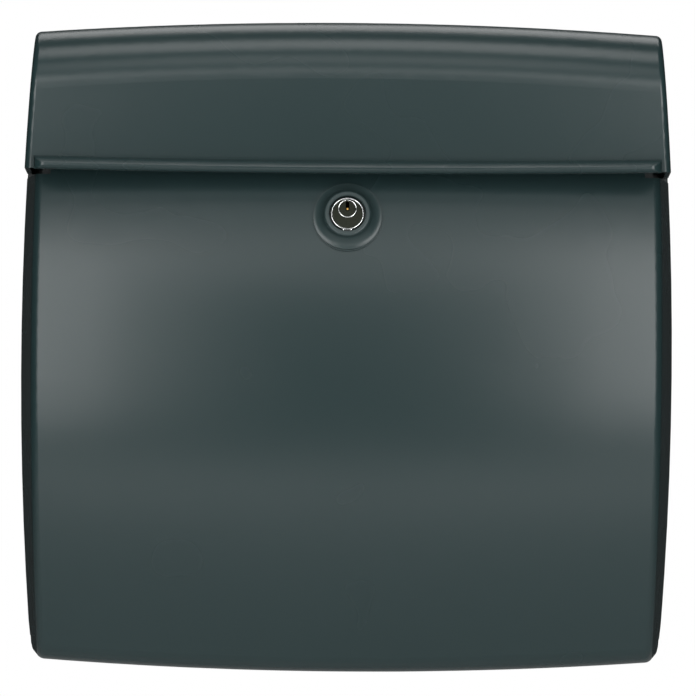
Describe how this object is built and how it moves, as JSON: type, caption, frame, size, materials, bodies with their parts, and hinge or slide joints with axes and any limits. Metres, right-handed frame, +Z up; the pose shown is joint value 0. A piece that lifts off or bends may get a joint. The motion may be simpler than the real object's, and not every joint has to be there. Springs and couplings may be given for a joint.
{
  "type": "wall mounted mailbox",
  "caption": "Wall letterbox with a lifting rain lid over the mail slot and a bow-fronted, bottom-hinged door with a cam lock.",
  "frame": {"origin": "centre of the flat wall face, midway between the top and bottom edges", "axes": "+Y into the wall, -Y out of the front, +Z up, +X to the right as seen from the front"},
  "size_m": [0.3652, 0.1198, 0.3552],
  "materials": {
    "shell_plastic": "satin",
    "tray_plastic": "satin",
    "collar_plastic": "satin",
    "lock_chrome": "polished",
    "plug_nickel": "polished",
    "brass": "satin",
    "steel": "satin",
    "zinc_steel": "satin",
    "black_steel": "satin",
    "spring_steel": "satin"
  },
  "bodies": {
    "housing": {"back_housing": "tray_plastic", "strike_rail": "black_steel", "rail_screws": "steel", "lid_hinge_pin_left": "steel", "lid_hinge_pin_right": "steel", "door_hinge_pin_left": "steel", "door_hinge_pin_right": "steel"},
    "lid": {"lid": "shell_plastic"},
    "door": {"front_door": "shell_plastic", "lock_collar": "collar_plastic", "lock_barrel": "lock_chrome", "driver_pins": "brass", "driver_springs": "spring_steel", "chamber_cover": "brass", "lock_washer": "zinc_steel", "lock_nut": "steel"},
    "lock_core": {"lock_plug": "plug_nickel", "key_pins": "brass", "stop_washer": "zinc_steel", "lock_cam": "zinc_steel", "cam_screw": "steel"}
  },
  "joints": [
    {"name": "lid_hinge", "type": "hinge", "parent": "housing", "child": "lid", "pos_m": [0, -0.027, 0.1616], "axis": [-1, 0, 0], "range_deg": [0, 80]},
    {"name": "door_hinge", "type": "hinge", "parent": "housing", "child": "door", "pos_m": [0, -0.027, -0.1616], "axis": [1, 0, 0], "range_deg": [0, 55]},
    {"name": "lock_turn", "type": "hinge", "parent": "door", "child": "lock_core", "pos_m": [0, -0.10099, 0.07372], "axis": [0, 0.9695, -0.245], "range_deg": [0, 90]}
  ]
}
